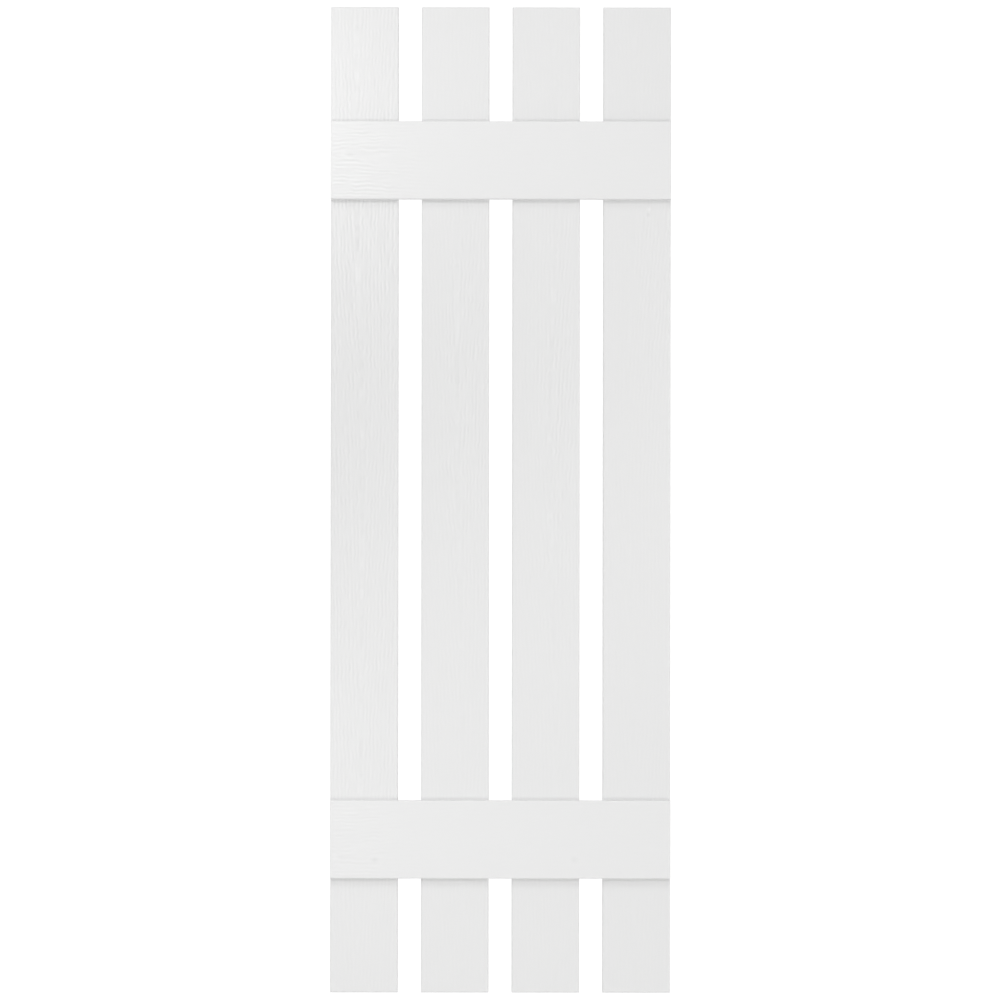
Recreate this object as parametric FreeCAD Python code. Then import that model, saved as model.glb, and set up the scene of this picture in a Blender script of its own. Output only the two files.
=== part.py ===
import FreeCAD, Part
import math
import os

# Board and batten shutter in white moulded plastic, in millimetres.
# Four spaced boards stand side by side and two battens cross their fronts near the ends.
# Every board and batten is an open-backed moulding with ribs, screwed together from behind.
# The origin is the lower left corner of the back. +X runs right, +Z up, and the wall is the
# plane y = 0, so the front looks towards -Y.

# Boards
BOARD_NAMES = ("left_board", "left_centre_board", "right_centre_board", "right_board")
BOARD_HEIGHT = 1092.0
BOARD_WIDTH = 75.2
BOARD_GAP = 25.4
BOARD_DEPTH = 16.0
BOARD_EDGE_RADIUS = 1.6

# Battens
BATTEN_HEIGHT = 86.5
BATTEN_RAISE = 9.5
BATTEN_EDGE_RADIUS = 1.2
BATTEN_INSET = 127.0

# Moulding walls
SKIN = 2.4
SIDE_WALL = 2.2
INNER_CHAMFER = 1.2
DRAFT_ANGLE = 1.0

# Ribs inside the boards
BOARD_RIB = 1.8
BOARD_RIB_RECESS = 2.5
BOARD_RIB_OFFSET = 15.0
BOARD_RIB_PITCH = 84.0

# Ribs inside the battens
BATTEN_RIB = 1.6
BATTEN_RIB_RECESS = 0.8

# Screws with six-sided heads, two at each crossing, and what they seat on and bite into
SCREW_SPACING = 44.0
SHANK_RADIUS = 2.1
HEAD_ACROSS_FLATS = 7.0
HEAD_HEIGHT = 2.6
SEAT_PAD_WIDTH = 12.0
SEAT_PAD_HEIGHT = 4.0
PILLAR_WIDTH = 9.6

# Clearances
SHANK_CLEARANCE = 0.3
THREAD_CLEARANCE = 0.05
TIP_CLEARANCE = 0.6

BACK = FreeCAD.Vector(0, 1, 0)
TAPER = math.tan(math.radians(DRAFT_ANGLE))

# Planes along y that the pieces share
WALL_Y = 0.0
BOARD_FRONT_Y = WALL_Y - BOARD_DEPTH
BOARD_SKIN_Y = BOARD_FRONT_Y + SKIN
BATTEN_FRONT_Y = BOARD_FRONT_Y - BATTEN_RAISE
BATTEN_SKIN_Y = BATTEN_FRONT_Y + SKIN
SCREW_SEAT_Y = BOARD_SKIN_Y + SEAT_PAD_HEIGHT
SCREW_TIP_Y = BATTEN_SKIN_Y + TIP_CLEARANCE

# Places along x and z that the pieces share
BOARD_PITCH = BOARD_WIDTH + BOARD_GAP
SHUTTER_WIDTH = len(BOARD_NAMES) * BOARD_PITCH - BOARD_GAP
BATTEN_LOW_Z = {
    "lower_batten": BATTEN_INSET,
    "upper_batten": BOARD_HEIGHT - BATTEN_INSET - BATTEN_HEIGHT,
}


def board_left(index):
    """Left edge of a board, counted from the left."""
    return index * BOARD_PITCH


def board_middle(index):
    """Centre line of a board."""
    return board_left(index) + BOARD_WIDTH / 2


def batten_middle(batten):
    """Centre line of a batten."""
    return BATTEN_LOW_Z[batten] + BATTEN_HEIGHT / 2


def screw_heights(batten):
    """Heights of the two screws at each crossing of a batten."""
    middle = batten_middle(batten)
    return {"top": middle + SCREW_SPACING / 2, "bottom": middle - SCREW_SPACING / 2}


def drafted_block(x_span, z_span, base_y, end_y):
    """Block with the full rectangle at base_y that narrows by the draft towards end_y."""
    inset = abs(end_y - base_y) * TAPER
    full = (x_span[0], x_span[1], z_span[0], z_span[1])
    slim = (x_span[0] + inset, x_span[1] - inset, z_span[0] + inset, z_span[1] - inset)
    front, rear = (full, slim) if base_y < end_y else (slim, full)
    front_y, rear_y = sorted((base_y, end_y))
    return Part.makeWedge(
        front[0], front_y, front[2], rear[2], rear[0],
        front[1], rear_y, front[3], rear[3], rear[1],
    )


def front_edges(block):
    """The edges round the front face of a block."""
    return min(block.Faces, key=lambda face: face.CenterOfMass.y).Edges


def moulding(x_span, z_span, rim_y, front_y, edge_radius, inner_forms):
    """Open-backed moulding: a rounded outer form less its hollow, where inner forms stay."""
    outer = drafted_block(x_span, z_span, rim_y, front_y)
    outer = outer.makeFillet(edge_radius, front_edges(outer))
    inner_x = (x_span[0] + SIDE_WALL, x_span[1] - SIDE_WALL)
    inner_z = (z_span[0] + SIDE_WALL, z_span[1] - SIDE_WALL)
    hollow = drafted_block(inner_x, inner_z, rim_y, front_y + SKIN)
    hollow = hollow.makeChamfer(INNER_CHAMFER, front_edges(hollow))
    return outer.cut(hollow.cut(inner_forms))


def rib_along_x(x_span, z, thickness, skin_y, open_y):
    """Rib that runs across x at height z, thickest at the skin."""
    return drafted_block(x_span, (z - thickness / 2, z + thickness / 2), skin_y, open_y)


def rib_along_z(x, z_span, thickness, skin_y, open_y):
    """Rib that runs up z at place x, thickest at the skin."""
    return drafted_block((x - thickness / 2, x + thickness / 2), z_span, skin_y, open_y)


def screw_pillar(x, z, width, skin_y, top_y):
    """Square pad or pillar round a screw that rises from the skin."""
    x_span = (x - width / 2, x + width / 2)
    z_span = (z - width / 2, z + width / 2)
    return drafted_block(x_span, z_span, skin_y, top_y)


def round_bar(x, z, low_y, high_y, radius):
    """Cylinder along y, for a shank or for a hole to cut."""
    return Part.makeCylinder(radius, high_y - low_y, FreeCAD.Vector(x, low_y, z), BACK)


def cross_rib_heights():
    """Heights of the ribs across a board: on both battens' lines and evenly between them."""
    stops = [0.0, batten_middle("lower_batten"), batten_middle("upper_batten"), BOARD_HEIGHT]
    heights = []
    for low, high in zip(stops, stops[1:]):
        bays = max(1, round((high - low) / BOARD_RIB_PITCH))
        heights += [low + (high - low) * bay / bays for bay in range(1, bays + 1)]
    return heights[:-1]


def board(index):
    """One board with its ribs, screw seats and clearance holes."""
    x_span = (board_left(index), board_left(index) + BOARD_WIDTH)
    z_span = (0.0, BOARD_HEIGHT)
    middle = board_middle(index)
    rib_top = WALL_Y - BOARD_RIB_RECESS
    forms = [rib_along_x(x_span, z, BOARD_RIB, BOARD_SKIN_Y, rib_top) for z in cross_rib_heights()]
    for side in (-BOARD_RIB_OFFSET, BOARD_RIB_OFFSET):
        forms.append(rib_along_z(middle + side, z_span, BOARD_RIB, BOARD_SKIN_Y, rib_top))
    heights = [z for batten in BATTEN_LOW_Z for z in screw_heights(batten).values()]
    for z in heights:
        forms.append(screw_pillar(middle, z, SEAT_PAD_WIDTH, BOARD_SKIN_Y, SCREW_SEAT_Y))
    shape = moulding(x_span, z_span, WALL_Y, BOARD_FRONT_Y, BOARD_EDGE_RADIUS, forms)
    hole_radius = SHANK_RADIUS + SHANK_CLEARANCE
    holes = [round_bar(middle, z, BOARD_FRONT_Y, SCREW_SEAT_Y, hole_radius) for z in heights]
    return shape.cut(holes)


def batten(name):
    """One batten with its ribs and its screw pillars with blind pilot holes."""
    x_span = (0.0, SHUTTER_WIDTH)
    z_span = (BATTEN_LOW_Z[name], BATTEN_LOW_Z[name] + BATTEN_HEIGHT)
    rib_top = BOARD_FRONT_Y - BATTEN_RIB_RECESS
    forms = [rib_along_x(x_span, batten_middle(name), BATTEN_RIB, BATTEN_SKIN_Y, rib_top)]
    middles = [board_middle(index) for index in range(len(BOARD_NAMES))]
    gap_middles = [middle + BOARD_PITCH / 2 for middle in middles[:-1]]
    for x in middles + gap_middles:
        forms.append(rib_along_z(x, z_span, BATTEN_RIB, BATTEN_SKIN_Y, rib_top))
    places = [(x, z) for x in middles for z in screw_heights(name).values()]
    for x, z in places:
        forms.append(screw_pillar(x, z, PILLAR_WIDTH, BATTEN_SKIN_Y, BOARD_FRONT_Y))
    shape = moulding(x_span, z_span, BOARD_FRONT_Y, BATTEN_FRONT_Y, BATTEN_EDGE_RADIUS, forms)
    pilot_radius = SHANK_RADIUS + THREAD_CLEARANCE
    pilots = [round_bar(x, z, BATTEN_SKIN_Y, BOARD_FRONT_Y, pilot_radius) for x, z in places]
    return shape.cut(pilots)


def screw(x, z):
    """Six-sided head on the board's seat pad and a blunt shank that ends inside the batten."""
    reach = HEAD_ACROSS_FLATS / 2 / math.cos(math.pi / 6)
    turns = [math.pi * step / 3 for step in range(7)]
    corners = [(x + reach * math.cos(turn), z + reach * math.sin(turn)) for turn in turns]
    outline = Part.makePolygon([FreeCAD.Vector(cx, SCREW_SEAT_Y, cz) for cx, cz in corners])
    head = Part.Face(outline).extrude(FreeCAD.Vector(0, HEAD_HEIGHT, 0))
    return head.fuse(round_bar(x, z, SCREW_TIP_Y, SCREW_SEAT_Y, SHANK_RADIUS))


def shutter():
    """All pieces of the shutter by name."""
    pieces = {name: board(index) for index, name in enumerate(BOARD_NAMES)}
    for name in BATTEN_LOW_Z:
        pieces[name] = batten(name)
        for index, board_name in enumerate(BOARD_NAMES):
            for place, z in screw_heights(name).items():
                pieces[f"{name}_{board_name}_{place}_screw"] = screw(board_middle(index), z)
    return pieces


os.makedirs("parts", exist_ok=True)
for piece_name, piece in shutter().items():
    piece.exportStep(f"parts/{piece_name}.step")
    print(piece_name, len(piece.Solids), piece.isValid(), round(piece.Volume))
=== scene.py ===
"""Looks of a white board and batten shutter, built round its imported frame.

The frame gives the boards, battens and screws at their real size. This script adds what the eye
sees on them: the wood grain that the mould leaves raised on every front, the finish of the plastic,
the threads and washer faces of the screws, and the studio that the shutter is photographed in.
"""

import logging
from dataclasses import dataclass
from enum import Enum
from math import atan, pi, radians, tan
from typing import Any

import bpy
import numpy as np
from mathutils import Matrix, Vector
from numpy.typing import NDArray


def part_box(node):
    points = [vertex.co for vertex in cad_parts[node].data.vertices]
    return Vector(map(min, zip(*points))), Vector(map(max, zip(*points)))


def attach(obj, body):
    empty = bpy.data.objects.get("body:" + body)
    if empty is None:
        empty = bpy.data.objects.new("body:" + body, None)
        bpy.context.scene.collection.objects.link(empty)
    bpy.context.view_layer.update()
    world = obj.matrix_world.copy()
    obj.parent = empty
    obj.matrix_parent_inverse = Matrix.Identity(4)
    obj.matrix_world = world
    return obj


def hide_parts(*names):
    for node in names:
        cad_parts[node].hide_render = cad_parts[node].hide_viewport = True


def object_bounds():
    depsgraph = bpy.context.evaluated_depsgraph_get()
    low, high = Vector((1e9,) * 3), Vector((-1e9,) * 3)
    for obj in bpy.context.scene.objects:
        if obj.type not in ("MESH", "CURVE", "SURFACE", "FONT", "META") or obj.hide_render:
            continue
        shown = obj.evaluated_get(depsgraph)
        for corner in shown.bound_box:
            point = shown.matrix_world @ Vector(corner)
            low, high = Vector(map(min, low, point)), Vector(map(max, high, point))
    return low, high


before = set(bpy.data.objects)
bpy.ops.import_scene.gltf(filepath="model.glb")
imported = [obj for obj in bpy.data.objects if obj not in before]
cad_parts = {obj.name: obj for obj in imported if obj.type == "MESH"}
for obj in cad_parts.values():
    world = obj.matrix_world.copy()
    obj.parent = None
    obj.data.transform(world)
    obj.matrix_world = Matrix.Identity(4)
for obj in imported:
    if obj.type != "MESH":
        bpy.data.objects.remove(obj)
cad_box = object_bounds()

Array = NDArray[np.float64]

MM = 0.001
ROOT = "root"
SHARP_ANGLE = radians(35.0)
SCREW_ENDING = "_screw"
SCREW_SEED = 5
LOG = logging.getLogger("shutter")

# The attribute for the grain's painted shade in grooves and painted highlight on crests,
# from 0 in a groove to 1 on a crest, and its level between
RELIEF = "relief"
PLAIN_LEVEL = 0.5

# Random values along each side of a lattice before it repeats
LATTICE_SIZE = 128

# The sRGB curve: a straight start up to its knee, and a power above it
SRGB_KNEE = 0.04045
SRGB_START_SLOPE = 12.92
SRGB_OFFSET = 0.055
SRGB_POWER = 2.4


class GrainRun(Enum):
    """Which way the grain of a moulding runs."""

    UP = "up the boards"
    ACROSS = "along the battens"


def linear_colour(code: str) -> tuple[float, float, float, float]:
    """Turn an sRGB hex code into the linear colour that shaders use.

    Args:
        code: Six hex digits, such as "F0F0F0".

    Returns:
        Linear red, green and blue, and an alpha of 1.
    """
    parts = [int(code[at:at + 2], 16) / 255 for at in (0, 2, 4)]
    low = [part / SRGB_START_SLOPE for part in parts]
    high = [((part + SRGB_OFFSET) / (1 + SRGB_OFFSET)) ** SRGB_POWER for part in parts]
    red, green, blue = (a if part <= SRGB_KNEE else b for part, a, b in zip(parts, low, high))
    return red, green, blue, 1.0


def add_node(
    tree: bpy.types.NodeTree,
    kind: str,
    settings: dict[str, Any] | None = None,
    inputs: dict[str | int, Any] | None = None,
) -> bpy.types.Node:
    """Add one node, set its properties and its sockets, and link what feeds it.

    Args:
        tree: The node tree that gets the node.
        kind: The node's type name.
        settings: Properties of the node by name.
        inputs: Sockets by name or number. An output socket is linked, and anything else is a value.

    Returns:
        The new node.
    """
    node = tree.nodes.new(kind)
    for name, value in (settings or {}).items():
        setattr(node, name, value)
    for key, value in (inputs or {}).items():
        if isinstance(value, bpy.types.NodeSocket):
            tree.links.new(value, node.inputs[key])
        else:
            node.inputs[key].default_value = value
    return node


def new_material(name: str) -> tuple[bpy.types.Material, bpy.types.NodeTree]:
    """Make a material with an empty node tree.

    Args:
        name: The material's name.

    Returns:
        The material and its node tree.
    """
    material = bpy.data.materials.new(name)
    material.use_nodes = True
    material.node_tree.nodes.clear()
    return material, material.node_tree


def smooth_step(share: Array) -> Array:
    """The smooth step 3t^2 - 2t^3 of a share that is first held between 0 and 1."""
    held = np.clip(share, 0.0, 1.0)
    return held * held * (3 - 2 * held)


def lattice_noise(seed: int, u: Array, v: Array) -> Array:
    """Smooth random field between about -1 and 1.

    Random values sit on the whole-number points of a lattice that repeats. Between four of them
    the field is their mean, weighted by the smooth step of the distance along u and along v.

    Args:
        seed: Chooses the random values.
        u: First coordinate, in lattice steps.
        v: Second coordinate, in lattice steps.

    Returns:
        The field, with the shape of u and v together.
    """
    table = np.random.default_rng(seed).uniform(-1.0, 1.0, (LATTICE_SIZE, LATTICE_SIZE))
    u, v = np.broadcast_arrays(u, v)
    iu, iv = np.floor(u).astype(int), np.floor(v).astype(int)
    tu, tv = smooth_step(u - iu), smooth_step(v - iv)
    u_low, v_low = iu % LATTICE_SIZE, iv % LATTICE_SIZE
    u_high, v_high = (iu + 1) % LATTICE_SIZE, (iv + 1) % LATTICE_SIZE
    near = table[u_low, v_low] * (1 - tu) + table[u_high, v_low] * tu
    far = table[u_low, v_high] * (1 - tu) + table[u_high, v_high] * tu
    return near * (1 - tv) + far * tv


@dataclass(frozen=True)
class Ripple:
    """Random waviness, with the size of its waves across and along the grain in millimetres."""

    across: float
    along: float
    strength: float

    def field(self, seed: int, across: Array, along: Array) -> Array:
        """Smooth random field between about plus and minus the strength."""
        return self.strength * lattice_noise(seed, across / self.across, along / self.along)


@dataclass(frozen=True)
class PinKnot:
    """A small round knot, placed on its face in millimetres.

    A positive strength gives a shallow dimple with a faint rim and painted shade, and a negative
    one a low bump with a painted highlight.
    """

    across: float
    along: float
    reach: float = 4.4
    strength: float = 0.65

    def bell_and_swell(self, across: Array, along: Array) -> tuple[Array, Array]:
        """How far the knot reaches and how it swells.

        With r as the distance in reaches, the bell is exp(-r^2). The swell is the strength times
        that bell times r^2 less 1, so in a dimple it is lowest at the middle and rises to a rim.

        Args:
            across: Distance across the grain, as a row.
            along: Distance along the grain, as a column.

        Returns:
            The bell and the swell on the grid of along by across.
        """
        squared = ((across - self.across) ** 2 + (along - self.along) ** 2) / self.reach ** 2
        bell = np.exp(-squared)
        return bell, self.strength * bell * (squared - 1)


@dataclass(frozen=True)
class BoldArea:
    """Where the mould's grain is cut deepest on a face, in millimetres, and how deep.

    A foot is a length at the face's lower end over which the grain fades.
    """

    across: float
    along: float
    across_reach: float
    along_reach: float
    deepest: float
    elsewhere: float
    foot: float = 0.0
    foot_share: float = 0.3

    def share(self, across: Array, along: Array) -> Array:
        """Depth of the grain's cut as a share of its full height.

        It falls off as a bell curve from the deepest, at the area's middle, to that elsewhere. Up a
        foot it also grows, by the smooth step, from the foot's share to the whole.

        Args:
            across: Distance across the grain, as a row.
            along: Distance along the grain, as a column.

        Returns:
            The share on the grid of along by across.
        """
        off_across = (across - self.across) / self.across_reach
        off_along = (along - self.along) / self.along_reach
        bell = np.exp(-off_across ** 2 - off_along ** 2)
        depth = self.elsewhere + (self.deepest - self.elsewhere) * bell
        if self.foot:
            risen = smooth_step(along / self.foot)
            depth = depth * (self.foot_share + (1 - self.foot_share) * risen)
        return depth


@dataclass(frozen=True)
class WoodGrain:
    """Relief of combed timber, as the mould leaves it raised on the plastic, in millimetres.

    The heart is the distance across the face to the line that the rings run beside. The strength
    of the wander is in millimetres, that of the sweep and the kinks in ring spacings, and that of
    the breaks and the fibres a share of their height.
    """

    seed: int
    heart: float
    bold: BoldArea
    # On the photograph the rings are 4.4 to 5.3 mm apart. Drawn so, they look coarser than there.
    ring_spacing: float = 4.1
    heart_depth: float = 2.0
    taper: float = 0.03
    ridge_height: float = 0.3
    fibre_height: float = 0.12
    wander: Ripple = Ripple(across=1000.0, along=300.0, strength=6.0)
    sweep: Ripple = Ripple(across=12.0, along=50.0, strength=0.22)
    kink: Ripple = Ripple(across=7.0, along=6.0, strength=0.2)
    breaks: Ripple = Ripple(across=5.0, along=8.0, strength=0.55)
    # Real fibre marks are about 0.5 mm apart. They are drawn twice as far apart so that they show.
    fibre: Ripple = Ripple(across=1.05, along=12.0, strength=0.5)
    knots: tuple[PinKnot, ...] = ()
    knot_height: float = 0.3
    # How far painted shade darkens a dimple and a painted highlight lightens a bump
    knot_painted_shade: float = 0.5

    def height(self, across: Array, along: Array) -> Array:
        """Height of the grain above the plain face, where it is cut deepest.

        The rings are counted by the distance from the heart line, rounded off close to it, less
        the taper along the face, over the ring spacing, so each ring draws a narrow arch. The heart
        line wanders across the face, long waves sweep the rings aside and short ones kink them. The
        rings rise and sink about half their height as a cosine does, and noise drawn out along the
        grain breaks them into dashes. Finer fibres lie over them.

        Args:
            across: Distance across the grain, as a row.
            along: Distance along the grain, as a column.

        Returns:
            Height in millimetres on the grid of along by across.
        """
        heart = self.heart + self.wander.field(self.seed, np.zeros(1), along)
        away = np.hypot(across - heart, self.heart_depth)
        rings = (away - self.taper * along) / self.ring_spacing
        rings = rings + self.sweep.field(self.seed + 1, across, along)
        rings = rings + self.kink.field(self.seed + 2, across, along)
        ridge = 0.5 * np.cos(2 * pi * rings)
        shown = smooth_step(0.5 + self.breaks.field(self.seed + 3, across, along))
        fibres = 0.5 + self.fibre.field(self.seed + 4, across, along)
        return self.ridge_height * (0.5 + ridge * shown) + self.fibre_height * fibres

    def knotted(
        self, height: Array, shade: Array, spots: tuple[Array, Array]
    ) -> tuple[Array, Array]:
        """Set the knots into a face's relief and shade.

        At a knot the grain sinks away by the bell, the rim rises by the positive part of the
        swell, and the painted shade follows the swell: darker in a dimple, lighter on a bump.

        Args:
            height: Height of the relief in millimetres.
            shade: Painted shade of the relief, from 0 in a groove to 1 on a crest.
            spots: Distances across the grain, as a row, and along it, as a column.

        Returns:
            The new height and shade.
        """
        for knot in self.knots:
            bell, swell = knot.bell_and_swell(*spots)
            height = height * (1 - bell) + self.knot_height * np.maximum(swell, 0.0)
            shade = shade + self.knot_painted_shade * swell
        return height, shade


@dataclass(frozen=True)
class BattenGrain(WoodGrain):
    """The battens' grain, whose rings, kinks and dashes are a little larger than the boards'."""

    ring_spacing: float = 4.4
    kink: Ripple = Ripple(across=8.0, along=7.0, strength=0.24)
    breaks: Ripple = Ripple(across=6.0, along=10.0, strength=0.6)
    fibre: Ripple = Ripple(across=1.3, along=12.0, strength=0.5)


@dataclass(frozen=True)
class WhiteCopolymer:
    """Injection moulded white copolymer.

    Bright neutral plastic with a satin sheen. The mould's fine sparked texture spreads the
    highlights, and drawn-out fibres too fine for the mesh catch a little light along the grain.
    """

    run: GrainRun
    grained: bool
    light_tone: str = "F0F0F0"
    soft_tone: str = "EDEDED"
    # Painted highlight on the grain's crests and painted shade in its grooves
    painted_crest_highlight_tone: str = "F8F8F8"
    painted_groove_shade_tone: str = "E7E7E7"
    ior: float = 1.49
    sheen_low: float = 0.40
    sheen_high: float = 0.54
    # Fibres this fine are under 0.5 mm apart. They are drawn 1.3 mm apart so that they show.
    fibre_mm: float = 1.3
    fibre_length_mm: float = 40.0
    fibre_depth_mm: float = 0.024
    fibre_detail: float = 3.0
    fibre_harshness: float = 0.6
    cloud_mm: float = 26.0
    # A sparked mould's pits are about 0.1 mm wide. They are drawn 0.5 mm wide so that they show.
    texture_mm: float = 0.5
    texture_depth_mm: float = 0.008
    texture_detail: float = 2.0

    def material(self) -> bpy.types.Material:
        """Build the material on Object coordinates, stretched along the grain.

        A grained front gets painted shade in grooves and highlight on crests; plain plastic gets
        clouds.

        Returns:
            The finished material.
        """
        form = "grained" if self.grained else "plain"
        material, tree = new_material(f"moulded white copolymer, {form}, {self.run.value}")
        place = add_node(tree, "ShaderNodeTexCoord").outputs["Object"]
        fine, slow = 1 / (self.fibre_mm * MM), 1 / (self.fibre_length_mm * MM)
        scale = (fine, fine, slow) if self.run is GrainRun.UP else (slow, fine, fine)
        drawn = add_node(tree, "ShaderNodeMapping", inputs={"Vector": place, "Scale": scale})
        fibres = add_node(
            tree, "ShaderNodeTexNoise",
            inputs={
                "Vector": drawn.outputs[0], "Scale": 1.0, "Detail": self.fibre_detail,
                "Roughness": self.fibre_harshness,
            },
        )
        texture = add_node(
            tree, "ShaderNodeTexNoise",
            inputs={
                "Vector": place, "Scale": 1 / (self.texture_mm * MM), "Detail": self.texture_detail,
            },
        )
        # The relief paints shade into the grooves and a highlight onto the crests
        if self.grained:
            pattern = add_node(tree, "ShaderNodeAttribute", {"attribute_name": RELIEF})
            tones = (self.painted_groove_shade_tone, self.painted_crest_highlight_tone)
        else:
            cloud = {"Vector": drawn.outputs[0], "Scale": self.fibre_mm / self.cloud_mm}
            pattern = add_node(tree, "ShaderNodeTexNoise", inputs=cloud)
            tones = (self.soft_tone, self.light_tone)
        tone = add_node(
            tree, "ShaderNodeMix", {"data_type": "RGBA"},
            {
                "Factor": pattern.outputs["Fac"], "A": linear_colour(tones[0]),
                "B": linear_colour(tones[1]),
            },
        )
        rough = add_node(
            tree, "ShaderNodeMapRange",
            inputs={
                "Value": fibres.outputs["Fac"], "To Min": self.sheen_low, "To Max": self.sheen_high,
            },
        )
        grit = add_node(
            tree, "ShaderNodeBump",
            inputs={"Height": texture.outputs["Fac"], "Distance": self.texture_depth_mm * MM},
        )
        grain = add_node(
            tree, "ShaderNodeBump",
            inputs={
                "Height": fibres.outputs["Fac"], "Distance": self.fibre_depth_mm * MM,
                "Normal": grit.outputs["Normal"],
            },
        )
        shader = add_node(
            tree, "ShaderNodeBsdfPrincipled",
            inputs={
                "Base Color": tone.outputs["Result"], "Roughness": rough.outputs["Result"],
                "Normal": grain.outputs["Normal"], "IOR": self.ior,
            },
        )
        add_node(tree, "ShaderNodeOutputMaterial", inputs={"Surface": shader.outputs["BSDF"]})
        return material


@dataclass(frozen=True)
class PaintedBrighterCopolymer(WhiteCopolymer):
    """The same moulded copolymer painted a shade paler, as painted light that brightens the battens.
    """

    light_tone: str = "F2F2F2"
    soft_tone: str = "EFEFEF"
    # Painted highlight on the crests and painted shade in the grooves, a shade paler than the
    # boards'
    painted_crest_highlight_tone: str = "FAFAFA"
    painted_groove_shade_tone: str = "E9E9E9"


@dataclass(frozen=True)
class ZincPlatedSteel:
    """Zinc plated steel wire, cold headed and thread rolled.

    A cool grey metal with a soft gloss that the plating's fine crystals break up.
    """

    bright_tone: str = "C9CCCE"
    dull_tone: str = "A9ADB0"
    # The plating's crystals are under 0.1 mm wide. They are drawn 0.6 mm wide so that they show.
    crystal_mm: float = 0.6
    crystal_detail: float = 4.0
    gloss: float = 0.28
    dull: float = 0.46

    def material(self) -> bpy.types.Material:
        """Build the material on Object coordinates.

        Returns:
            The finished material.
        """
        material, tree = new_material("zinc plated steel, cold headed")
        place = add_node(tree, "ShaderNodeTexCoord").outputs["Object"]
        crystals = add_node(
            tree, "ShaderNodeTexNoise",
            inputs={
                "Vector": place, "Scale": 1 / (self.crystal_mm * MM), "Detail": self.crystal_detail,
            },
        )
        tone = add_node(
            tree, "ShaderNodeMix", {"data_type": "RGBA"},
            {
                "Factor": crystals.outputs["Fac"], "A": linear_colour(self.bright_tone),
                "B": linear_colour(self.dull_tone),
            },
        )
        rough = add_node(
            tree, "ShaderNodeMapRange",
            inputs={"Value": crystals.outputs["Fac"], "To Min": self.gloss, "To Max": self.dull},
        )
        shader = add_node(
            tree, "ShaderNodeBsdfPrincipled",
            inputs={
                "Base Color": tone.outputs["Result"], "Metallic": 1.0,
                "Roughness": rough.outputs["Result"],
            },
        )
        add_node(tree, "ShaderNodeOutputMaterial", inputs={"Surface": shader.outputs["BSDF"]})
        return material


def mesh_piece(
    name: str, points: Array, faces: list[list[int]], material: bpy.types.Material
) -> bpy.types.Object:
    """Make a smooth-shaded piece that rides on the root body.

    Args:
        name: The piece's name.
        points: Vertices as rows of x, y and z in metres.
        faces: Lists of vertex numbers, anticlockwise seen from outside.
        material: The piece's finish.

    Returns:
        The new object.
    """
    mesh = bpy.data.meshes.new(name)
    mesh.from_pydata(points, [], faces)
    mesh.materials.append(material)
    mesh.shade_smooth()
    mesh.update()
    piece = bpy.data.objects.new(name, mesh)
    bpy.context.scene.collection.objects.link(piece)
    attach(piece, ROOT)
    return piece


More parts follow.
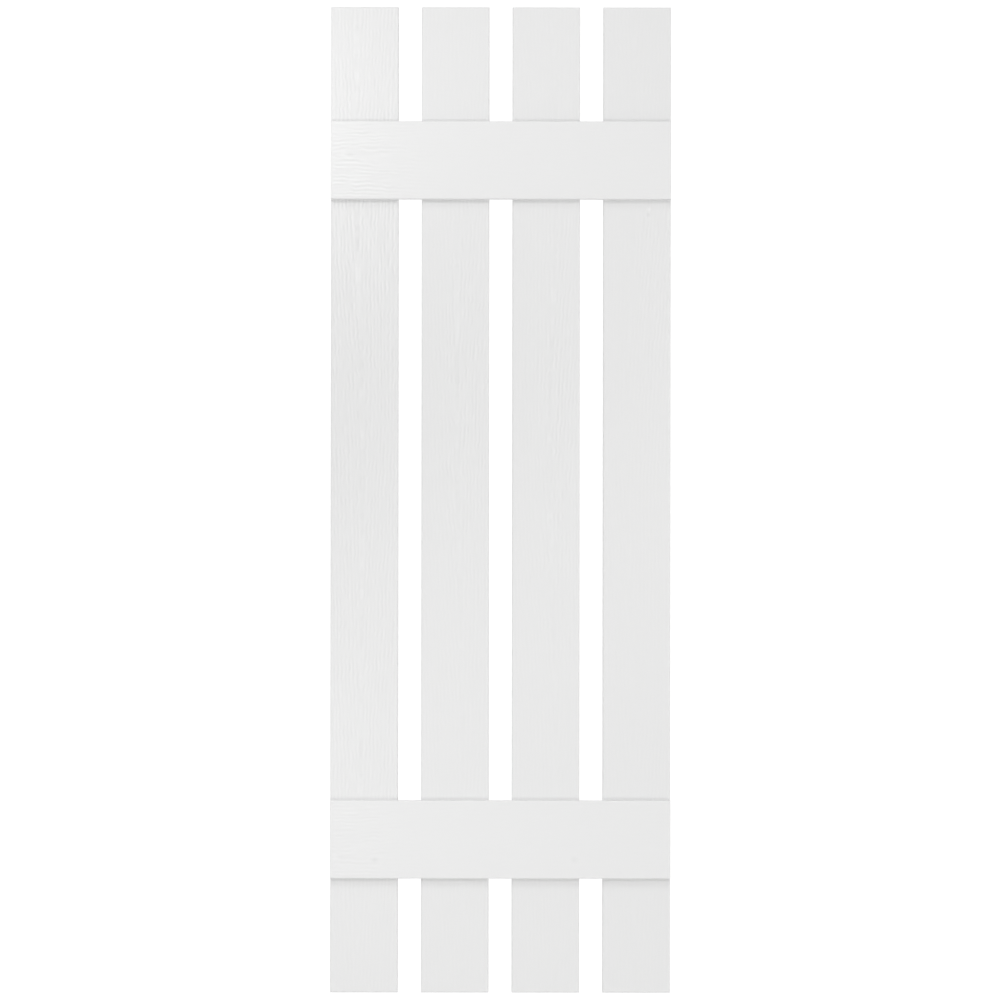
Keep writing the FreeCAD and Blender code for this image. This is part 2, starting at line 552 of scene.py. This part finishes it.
@dataclass
class GrainedFace:
    """Thin closed skin of raised grain that wraps the rounded front of one moulding.

    All sizes are in millimetres. The skin follows the moulding's front and its rounded edges, and
    thins to nothing where the roundings meet the drafted sides. The lift holds it clear of the
    moulding's own front, and the bed sinks its back into the plastic.
    """

    node: str
    run: GrainRun
    grain: WoodGrain
    edge_radius: float
    draft: float = radians(1.0)
    lift: float = 0.03
    bed: float = 0.25
    plain_edge: float = 0.8
    grain_fade: float = 2.6
    arc_steps: int = 10
    across_step: float = 0.6
    along_step: float = 2.0

    def edge_run(
        self, low: float, high: float, step: float, depth: float
    ) -> tuple[Array, Array, Array]:
        """Stations from one side of the front to the other.

        Along each rounded edge a station's place and drop follow a circle that is tangent to the
        drafted side and to the front. Between the two arcs the stations are evenly spaced.

        Args:
            low: Lower side of the moulding at its rim.
            high: Upper side of the moulding at its rim.
            step: Spacing wanted on the flat.
            depth: Depth of the moulding from its rim to its front.

        Returns:
            Places, drops below the front and shares of the turn, from 0 at a side to 1 on the flat.
        """
        inset = depth * tan(self.draft) + self.edge_radius * tan((pi / 2 - self.draft) / 2)
        turn = np.linspace(self.draft, pi / 2, self.arc_steps + 1)
        place = low + inset - self.edge_radius * np.cos(turn)
        drop = self.edge_radius * (1 - np.sin(turn))
        share = (turn - turn[0]) / (turn[-1] - turn[0])
        spaces = round((high - low - 2 * inset) / step)
        flat = np.linspace(low + inset, high - inset, spaces + 1)[1:-1]
        places = np.concatenate([place, flat, (low + high - place)[::-1]])
        drops = np.concatenate([drop, np.zeros(len(flat)), drop[::-1]])
        shares = np.concatenate([share, np.ones(len(flat)), share[::-1]])
        return places, drops, shares

    def build(self, material: bpy.types.Material) -> bpy.types.Object:
        """Build the skin over its moulding.

        The front's height is the lower of the two edge profiles, which gives mitred corners, plus
        the lift, which the smaller share of turn thins out, plus the grain with its knots, which
        fades out before the sides. The bed is the same surface without grain, set down into the
        plastic. The two share their outer loop, so the skin is closed. The relief attribute holds
        the grain's height less its mean, as a share of its peak, about a half, from which the
        material paints shade into the grooves and a highlight onto the crests.

        Args:
            material: The plastic's finish.

        Returns:
            The skin as a new piece.
        """
        corner, far = (np.array(end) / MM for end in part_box(self.node))
        depth = far[1] - corner[1]
        upright = self.run is GrainRun.UP
        across_axis, along_axis = (0, 2) if upright else (2, 0)
        across_span = (corner[across_axis], far[across_axis])
        along_span = (corner[along_axis], far[along_axis])
        column, column_drop, column_turn = self.edge_run(*across_span, self.across_step, depth)
        row, row_drop, row_turn = self.edge_run(*along_span, self.along_step, depth)
        drop = np.maximum(column_drop[None, :], row_drop[:, None])
        turned = smooth_step(np.minimum(column_turn[None, :], row_turn[:, None]))
        from_side = np.minimum(
            np.minimum(column - column[0], column[-1] - column)[None, :],
            np.minimum(row - row[0], row[-1] - row)[:, None],
        )
        spots = (column[None, :] - across_span[0], row[:, None] - along_span[0])
        cut = smooth_step((from_side - self.plain_edge) / self.grain_fade)
        cut = cut * self.grain.bold.share(*spots)
        height = self.grain.height(*spots)
        level = PLAIN_LEVEL + cut * (height - height.mean()) / height.max()
        relief, level = self.grain.knotted(cut * height, level, spots)
        front = corner[1] + drop - turned * self.lift - relief
        bed = corner[1] + drop + turned * self.bed
        faces, back_rows, back_columns = closed_skin_faces(
            len(row), len(column), self.arc_steps, upright
        )
        across, along = np.meshgrid(column, row)
        top = np.stack([across, front, along], axis=-1).reshape(-1, 3)
        under = np.stack([across, bed, along], axis=-1)[back_rows, back_columns]
        points = np.concatenate([top, under]) * MM
        if not upright:
            points = points[:, ::-1]
        skin = mesh_piece(f"{self.node}_grain", points, faces, material)
        levels = np.concatenate([level.ravel(), np.full(len(under), PLAIN_LEVEL)])
        skin.data.attributes.new(RELIEF, "FLOAT", "POINT").data.foreach_set("value", levels)
        return skin


def closed_skin_faces(
    rows: int, columns: int, border: int, upright: bool
) -> tuple[list[list[int]], Array, Array]:
    """Faces of a grid closed from behind by a border of small faces and a ladder of long ones.

    A point's ring is its distance in cells from the grid's outer loop, which the front and the back
    share. The back repeats the next rings, as many as the border has. Inside them it is flat, and
    long faces span it, one to a row. The first and the last take in the points at its two ends.

    Args:
        rows: Grid rows.
        columns: Grid columns.
        border: How many rings of cells the closing border has.
        upright: Whether rows run up and columns run right, seen from the front.

    Returns:
        The faces, and the rows and columns of the grid points that the back repeats.
    """
    row, column = np.indices((rows, columns))
    ring = np.minimum(np.minimum(row, column), np.minimum(rows - 1 - row, columns - 1 - column))
    front = row * columns + column
    repeated = (ring > 0) & (ring <= border)
    back = np.where(ring == 0, front, -1)
    back[repeated] = rows * columns + np.arange(np.count_nonzero(repeated))
    cell = np.minimum(
        np.minimum(row[:-1, :-1], column[:-1, :-1]),
        np.minimum(rows - 2 - row[:-1, :-1], columns - 2 - column[:-1, :-1]),
    )

    def cells(grid: Array, chosen: Array) -> Array:
        """Corner numbers of the chosen cells, row by row."""
        corners = (grid[:-1, :-1], grid[:-1, 1:], grid[1:, 1:], grid[1:, :-1])
        return np.stack([corner[chosen] for corner in corners], axis=-1)

    front_cells = cells(front, cell >= 0)
    border_cells = cells(back, cell < border)[:, ::-1]
    left = back[border:rows - border, border]
    right = back[border:rows - border, columns - 1 - border]
    rungs = np.stack([left[1:-2], left[2:-1], right[2:-1], right[1:-2]], axis=-1)
    first = [*back[border, border:columns - border][::-1], left[1], right[1]]
    last = [*back[rows - 1 - border, border:columns - border], right[-2], left[-2]]
    faces = [*front_cells.tolist(), *border_cells.tolist(), *rungs.tolist()]
    faces += [[int(number) for number in end] for end in (first, last)]
    if not upright:
        faces = [face[::-1] for face in faces]
    return faces, row[repeated], column[repeated]


@dataclass
class Moulding:
    """One hollow plastic moulding: its body from the frame and the grain on its front."""

    node: str
    grain: WoodGrain
    run: GrainRun
    edge_radius: float
    plastic: type[WhiteCopolymer]

    def build(self) -> bpy.types.Object:
        """Finish the moulding's body and add its grain.

        Returns:
            The skin of grain as a new piece.
        """
        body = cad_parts[self.node].data.materials
        body.clear()
        body.append(self.plastic(self.run, grained=False).material())
        face = GrainedFace(self.node, self.run, self.grain, self.edge_radius)
        skin = face.build(self.plastic(self.run, grained=True).material())
        return skin


@dataclass
class Board(Moulding):
    """One upright board."""

    run: GrainRun = GrainRun.UP
    edge_radius: float = 1.6
    plastic: type[WhiteCopolymer] = WhiteCopolymer


@dataclass
class Batten(Moulding):
    """One cross batten, in the same plastic painted a shade paler than the boards' as painted light.
    """

    run: GrainRun = GrainRun.ACROSS
    edge_radius: float = 1.2
    plastic: type[WhiteCopolymer] = PaintedBrighterCopolymer


@dataclass
class WasherHeadScrew:
    """A thread forming screw with an indented six-sided washer head, in millimetres.

    Its head looks out of the back, and its thread bites into a pillar of the batten. The turn is
    the angle at which it came to rest.
    """

    node: str
    turn: float
    steel: bpy.types.Material
    across_flats: float = 7.0
    head_height: float = 2.6
    washer_radius: float = 4.7
    washer_height: float = 0.7
    dish_radius: float = 2.3
    dish_depth: float = 0.5
    chamfer_radius: float = 3.2
    # A cone of 30 degrees
    chamfer_slope: float = 0.577
    soften: float = 0.16
    core_radius: float = 1.75
    crest_radius: float = 2.3
    thread_pitch: float = 1.8
    plain_neck: float = 0.9
    tooth_power: int = 3
    point_length: float = 1.1
    point_radius: float = 0.9
    columns: int = 36
    rows_a_pitch: int = 6

    def hexagon(self, angle: Array) -> Array:
        """Radius of the six-sided outline: the apothem over the cosine of the angle to its flat."""
        return self.across_flats / 2 / np.cos(angle % (pi / 3) - pi / 6)

    def head_rings(self, angle: Array, top: float) -> tuple[Array, Array]:
        """Rings of the head from its dish to the washer's seat.

        The chamfer is a cone: where the hexagon reaches further out, its edge lies lower.

        Args:
            angle: Angles round the screw.
            top: Where the head ends, along y.

        Returns:
            Radius and place along y of each ring at each angle.
        """
        seat = top - self.head_height
        step = seat + self.washer_height
        flats = self.hexagon(angle)
        lowered = top - (flats - self.chamfer_radius) * self.chamfer_slope
        rings = [
            (self.dish_radius - 3 * self.soften, top - self.dish_depth),
            (self.dish_radius - self.soften, top - self.dish_depth + self.soften),
            (self.dish_radius, top - self.soften),
            (self.dish_radius + self.soften, top),
            (self.chamfer_radius, top),
            (flats, lowered),
            (flats, step + self.soften),
            (flats + self.soften, step),
            (self.washer_radius - self.soften, step),
            (self.washer_radius, step - self.soften),
            (self.washer_radius, seat + self.soften),
            (self.washer_radius - self.soften, seat),
        ]
        radius = np.stack([np.broadcast_to(ring[0], angle.shape) for ring in rings])
        place = np.stack([np.broadcast_to(ring[1], angle.shape) for ring in rings])
        return radius, place

    def shank_rings(self, angle: Array, seat: float, tip: float) -> tuple[Array, Array]:
        """Rings of the threaded shank from the seat to the blunt point.

        The thread's height is a rounded tooth, a power of a raised cosine of the turns that a
        spot's place and angle make together. It runs out over the neck and the point, where the
        core narrows too.

        Args:
            angle: Angles round the screw.
            seat: Where the shank starts, along y.
            tip: Where the shank ends, along y.

        Returns:
            Radius and place along y of each ring at each angle.
        """
        rows = round((seat - tip) / self.thread_pitch * self.rows_a_pitch)
        place = np.linspace(seat, tip, rows + 1)[:, None]
        turns = place / self.thread_pitch + angle[None, :] / (2 * pi)
        tooth = (0.5 + 0.5 * np.cos(2 * pi * turns)) ** self.tooth_power
        pointed = smooth_step((place - tip) / self.point_length)
        shown = smooth_step((seat - place) / self.plain_neck) * pointed
        core = self.point_radius + (self.core_radius - self.point_radius) * pointed
        radius = core + (self.crest_radius - self.core_radius) * tooth * shown
        return radius, np.broadcast_to(place, radius.shape)

    def build(self) -> bpy.types.Object:
        """Build the screw in place of its plain solid.

        Each point lies at its ring's radius from the screw's axis, by the cosine and sine of its
        angle plus the screw's turn, and a pole closes each end.

        Returns:
            The screw as a new piece.
        """
        low, high = (np.array(corner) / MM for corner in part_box(self.node))
        middle = (low + high) / 2
        angle = np.arange(self.columns) * 2 * pi / self.columns
        head = self.head_rings(angle, high[1])
        shank = self.shank_rings(angle, high[1] - self.head_height, low[1])
        radius, place = (np.concatenate(parts) for parts in zip(head, shank))
        right = middle[0] + radius * np.cos(angle + self.turn)
        up = middle[2] + radius * np.sin(angle + self.turn)
        rings = np.stack([right, place, up], axis=-1).reshape(-1, 3)
        poles = np.array([[middle[0], end, middle[2]] for end in (place[0, 0], place[-1, 0])])
        points = np.concatenate([rings, poles]) * MM
        faces = turned_faces(*radius.shape)
        piece = mesh_piece(f"{self.node}_threaded", points, faces, self.steel)
        piece.data.set_sharp_from_angle(angle=SHARP_ANGLE)
        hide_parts(self.node)
        return piece


def turned_faces(rows: int, columns: int) -> list[list[int]]:
    """Faces of a turned solid whose rings run from its high end of y to its low end.

    Args:
        rows: Number of rings.
        columns: Points in each ring.

    Returns:
        Four-sided faces between the rings, then a fan at each end, round the two last points.
    """
    grid = np.arange(rows * columns).reshape(rows, columns)
    beside = np.roll(grid, -1, axis=1)
    walls = np.stack([grid[:-1], beside[:-1], beside[1:], grid[1:]], axis=-1).reshape(-1, 4)
    first = np.stack([np.full(columns, rows * columns), beside[0], grid[0]], axis=-1)
    last = np.stack([np.full(columns, rows * columns + 1), grid[-1], beside[-1]], axis=-1)
    return [*walls.tolist(), *first.tolist(), *last.tolist()]


@dataclass(frozen=True)
class DistantLight:
    """A far soft light that is even over the whole shutter.

    The slopes say how far to the right and how far up it stands for each metre in front.
    """

    name: str
    right_slope: float
    up_slope: float
    spread: float
    strength: float


@dataclass(frozen=True)
class SoftLight:
    """A rectangular soft light with its place and aim, in metres and watts.

    A grid before it narrows its beam, which is a half turn without one.
    """

    name: str
    place: tuple[float, float, float]
    aim: tuple[float, float, float]
    width: float
    height: float
    power: float
    beam: float = pi


@dataclass(frozen=True)
class PaintedFloor:
    """Matt painted concrete floor, pale and even with a faint mottle from the roller."""

    pale_tone: str = "F2F2F1"
    mottle_tone: str = "EDEDEC"
    mottle_mm: float = 60.0
    dull: float = 0.8

    def material(self) -> bpy.types.Material:
        """Build the material on Object coordinates.

        Returns:
            The finished material.
        """
        material, tree = new_material("matt painted concrete")
        place = add_node(tree, "ShaderNodeTexCoord").outputs["Object"]
        mottle = add_node(
            tree, "ShaderNodeTexNoise", inputs={"Vector": place, "Scale": 1 / (self.mottle_mm * MM)}
        )
        tone = add_node(
            tree, "ShaderNodeMix", {"data_type": "RGBA"},
            {
                "Factor": mottle.outputs["Fac"], "A": linear_colour(self.pale_tone),
                "B": linear_colour(self.mottle_tone),
            },
        )
        shader = add_node(
            tree, "ShaderNodeBsdfPrincipled",
            inputs={"Base Color": tone.outputs["Result"], "Roughness": self.dull},
        )
        add_node(tree, "ShaderNodeOutputMaterial", inputs={"Surface": shader.outputs["BSDF"]})
        return material


@dataclass
class Studio:
    """Plain studio: a pale floor, soft lights, a white surround and the camera.

    The outline's size and centre are measured on the photograph, and its plane is where the boards'
    drafted sides start to round, in metres. The lean is the camera's roll, as a slope.
    """

    photo_pixels: float = 1000.0
    outline_pixels: float = 985.7
    centre_pixels: tuple[float, float] = (500.55, 499.95)
    outline_plane: float = -0.0144
    lens_mm: float = 200.0
    sensor_mm: float = 36.0
    lean: float = 0.0012
    camera_reach: float = 100.0
    floor_drop: float = 1.1
    floor_radius: float = 7.2
    floor_sides: int = 128
    surround_tone: str = "FFFFFF"
    seen_light: float = 1.1
    side_light: float = 0.7
    fore_light: float = 0.04
    back_light: float = 1.1
    top_light: float = 0.66
    distant_lights: tuple[DistantLight, ...] = (
        DistantLight("key", right_slope=-0.15, up_slope=0.4, spread=radians(7.0), strength=0.52),
        DistantLight(
            "high key", right_slope=-0.15, up_slope=1.0, spread=radians(30.0), strength=0.383
        ),
        DistantLight(
            "low fill", right_slope=0.25, up_slope=-0.34, spread=radians(8.0), strength=0.42
        ),
        DistantLight(
            "raking light", right_slope=6.0, up_slope=0.1, spread=radians(12.0), strength=0.25
        ),
    )
    lights: tuple[SoftLight, ...] = (
        SoftLight(
            "upper left strip", place=(-0.13, -0.23, 1.0), aim=(0.04, 0.0, 0.98),
            width=0.1, height=0.2, power=0.105,
        ),
        SoftLight(
            "lower left strip", place=(-0.2, -0.3, 0.28), aim=(0.04, 0.0, 0.16),
            width=0.1, height=0.2, power=0.1,
        ),
        SoftLight(
            "right strip", place=(0.6, -0.3, 0.62), aim=(0.34, 0.0, 0.6),
            width=0.1, height=0.3, power=0.08,
        ),
        SoftLight(
            "high lamp", place=(0.14, -0.8, 0.95), aim=(0.19, 0.0, 0.02),
            width=0.3, height=0.2, power=0.076, beam=radians(60.0),
        ),
        SoftLight(
            "top lamp", place=(0.22, -0.6, 1.1), aim=(0.22, 0.0, 1.05),
            width=0.2, height=0.2, power=0.22,
        ),
    )

    def camera(self) -> None:
        """Place the camera square to the front so that the shutter fills the photograph's frame."""
        low, high = (np.array(corner) for corner in cad_box)
        metres_per_pixel = (high[2] - low[2]) / self.outline_pixels
        view_width = metres_per_pixel * self.photo_pixels
        distance = view_width * self.lens_mm / self.sensor_mm
        middle = (low + high) / 2
        shift = (np.array(self.centre_pixels) - self.photo_pixels / 2) * metres_per_pixel
        data = bpy.data.cameras.new("camera")
        data.lens = self.lens_mm
        data.sensor_width = self.sensor_mm
        data.clip_end = self.camera_reach
        camera = bpy.data.objects.new("camera", data)
        place = Vector((middle[0] - shift[0], self.outline_plane - distance, middle[2] + shift[1]))
        level, roll = Matrix.Rotation(pi / 2, 4, "X"), Matrix.Rotation(atan(self.lean), 4, "Z")
        camera.matrix_world = Matrix.Translation(place) @ level @ roll
        bpy.context.scene.collection.objects.link(camera)
        bpy.context.scene.camera = camera

    def lamp(self, light: SoftLight) -> None:
        """Add one soft light, which the camera doesn't see.

        Args:
            light: The light's size, place, aim and power.
        """
        data = bpy.data.lights.new(light.name, "AREA")
        data.shape = "RECTANGLE"
        data.size = light.width
        data.size_y = light.height
        data.energy = light.power
        data.spread = light.beam
        lamp = bpy.data.objects.new(light.name, data)
        place, aim = Vector(light.place), Vector(light.aim)
        lamp.location = place
        lamp.rotation_euler = (aim - place).to_track_quat("-Z", "Y").to_euler()
        lamp.visible_camera = False
        bpy.context.scene.collection.objects.link(lamp)

    def sun(self, light: DistantLight) -> None:
        """Add one distant light.

        Args:
            light: The light's direction, spread and strength.
        """
        data = bpy.data.lights.new(light.name, "SUN")
        data.angle = light.spread
        data.energy = light.strength
        lamp = bpy.data.objects.new(light.name, data)
        onward = Vector((-light.right_slope, 1.0, -light.up_slope))
        lamp.rotation_euler = onward.to_track_quat("-Z", "Y").to_euler()
        bpy.context.scene.collection.objects.link(lamp)

    def surround(self) -> None:
        """White surround that lights the shutter unevenly and that the camera sees as plain white.

        The light from a direction is the sum of three strengths, each by the square of the
        direction's part along its own axis. From behind the shutter the second one is higher,
        which brightens the sides of the boards in their gaps.
        """
        world = bpy.data.worlds.new("white surround")
        bpy.context.scene.world = world
        world.use_nodes = True
        tree = world.node_tree
        tree.nodes.clear()
        toward = add_node(tree, "ShaderNodeTexCoord").outputs["Generated"]
        squared = add_node(
            tree, "ShaderNodeVectorMath", {"operation": "MULTIPLY"}, {0: toward, 1: toward}
        )
        depth = add_node(tree, "ShaderNodeSeparateXYZ", inputs={"Vector": toward}).outputs["Y"]
        behind = add_node(tree, "ShaderNodeMath", {"operation": "GREATER_THAN"}, {0: depth, 1: 0.0})
        strengths = add_node(
            tree, "ShaderNodeMix", {"data_type": "VECTOR"},
            {
                "Factor": behind.outputs[0], "A": (self.side_light, self.fore_light, self.top_light),
                "B": (self.side_light, self.back_light, self.top_light),
            },
        )
        light = add_node(
            tree, "ShaderNodeVectorMath", {"operation": "DOT_PRODUCT"},
            {0: squared.outputs[0], 1: strengths.outputs["Result"]},
        )
        ray = add_node(tree, "ShaderNodeLightPath").outputs["Is Camera Ray"]
        strength = add_node(
            tree, "ShaderNodeMapRange",
            inputs={"Value": ray, "To Min": light.outputs["Value"], "To Max": self.seen_light},
        )
        glow = add_node(
            tree, "ShaderNodeBackground",
            inputs={
                "Color": linear_colour(self.surround_tone), "Strength": strength.outputs["Result"],
            },
        )
        add_node(tree, "ShaderNodeOutputWorld", inputs={"Surface": glow.outputs[0]})

    def floor(self) -> None:
        """Pale round floor well below the shutter, which hangs at the height of a window.

        Its rim is a circle, by the cosine and sine of even turns round the shutter's middle. It
        casts no shadow, so that the low fill shines up through it.
        """
        turn = np.linspace(0, 2 * pi, self.floor_sides, endpoint=False)
        middle = (np.array(cad_box[0]) + np.array(cad_box[1])) / 2
        level = np.full(self.floor_sides, cad_box[0][2] - self.floor_drop)
        ring = self.floor_radius * np.stack([np.cos(turn), np.sin(turn)])
        points = np.stack([middle[0] + ring[0], middle[1] + ring[1], level], axis=-1)
        mesh = bpy.data.meshes.new("floor")
        mesh.from_pydata(points, [], [list(range(self.floor_sides))])
        mesh.materials.append(PaintedFloor().material())
        floor = bpy.data.objects.new("floor", mesh)
        floor.visible_shadow = False
        bpy.context.scene.collection.objects.link(floor)

    def build(self) -> None:
        """Set up the camera, the surround, the floor and the lights."""
        bpy.context.scene.view_settings.view_transform = "Standard"
        self.camera()
        self.surround()
        self.floor()
        for distant in self.distant_lights:
            self.sun(distant)
        for light in self.lights:
            self.lamp(light)


# Each board's grain. It is boldest on the left board, under the upper batten.
BOARD_GRAINS = {
    "left_board": WoodGrain(
        seed=11, heart=34.0,
        bold=BoldArea(
            across=34.0, along=840.0, across_reach=90.0, along_reach=150.0,
            deepest=1.05, elsewhere=0.5, foot=300.0,
        ),
    ),
    "left_centre_board": WoodGrain(
        seed=23, heart=44.0,
        bold=BoldArea(
            across=50.0, along=660.0, across_reach=28.0, along_reach=200.0,
            deepest=0.7, elsewhere=0.14,
        ),
    ),
    "right_centre_board": WoodGrain(
        seed=37, heart=46.0,
        bold=BoldArea(
            across=50.0, along=650.0, across_reach=26.0, along_reach=200.0,
            deepest=0.64, elsewhere=0.14,
        ),
    ),
    "right_board": WoodGrain(
        seed=41, heart=30.0,
        bold=BoldArea(
            across=60.0, along=800.0, across_reach=22.0, along_reach=160.0,
            deepest=0.42, elsewhere=0.11,
        ),
        # A dimple with painted shade below a low bump with a painted highlight, as if lit from above
        knots=(
            PinKnot(across=50.0, along=861.8, reach=2.7, strength=0.8),
            PinKnot(across=50.6, along=868.2, reach=2.7, strength=-0.9),
        ),
    ),
}

# Each batten's grain, a little coarser than the boards' and boldest at the left end
BATTEN_GRAINS = {
    "lower_batten": BattenGrain(
        seed=53, heart=30.0,
        bold=BoldArea(
            across=40.0, along=22.0, across_reach=80.0, along_reach=44.0,
            deepest=0.44, elsewhere=0.05,
        ),
        # Two dimples whose middles are darkened by painted shade
        knots=(PinKnot(across=20.9, along=49.8), PinKnot(across=21.0, along=270.4, strength=0.4)),
    ),
    "upper_batten": BattenGrain(
        seed=67, heart=50.0,
        bold=BoldArea(
            across=36.0, along=26.0, across_reach=70.0, along_reach=45.0,
            deepest=1.0, elsewhere=0.05,
        ),
    ),
}


def report(piece: bpy.types.Object) -> None:
    """Log a piece's name and how many vertices and faces it has."""
    mesh = piece.data
    LOG.info("%s: %d vertices, %d faces", piece.name, len(mesh.vertices), len(mesh.polygons))


def main() -> None:
    """Set up the studio, then build and report the boards, the battens and the screws in order."""
    Studio().build()
    for node, grain in BOARD_GRAINS.items():
        report(Board(node, grain).build())
    for node, grain in BATTEN_GRAINS.items():
        report(Batten(node, grain).build())
    steel = ZincPlatedSteel().material()
    screws = [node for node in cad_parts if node.endswith(SCREW_ENDING)]
    turns = np.random.default_rng(SCREW_SEED).uniform(0.0, pi / 3, len(screws))
    for node, turn in zip(screws, turns):
        report(WasherHeadScrew(node, float(turn), steel).build())


if __name__ == "__main__":
    logging.basicConfig(level=logging.INFO, format="%(name)s: %(message)s")
    main()
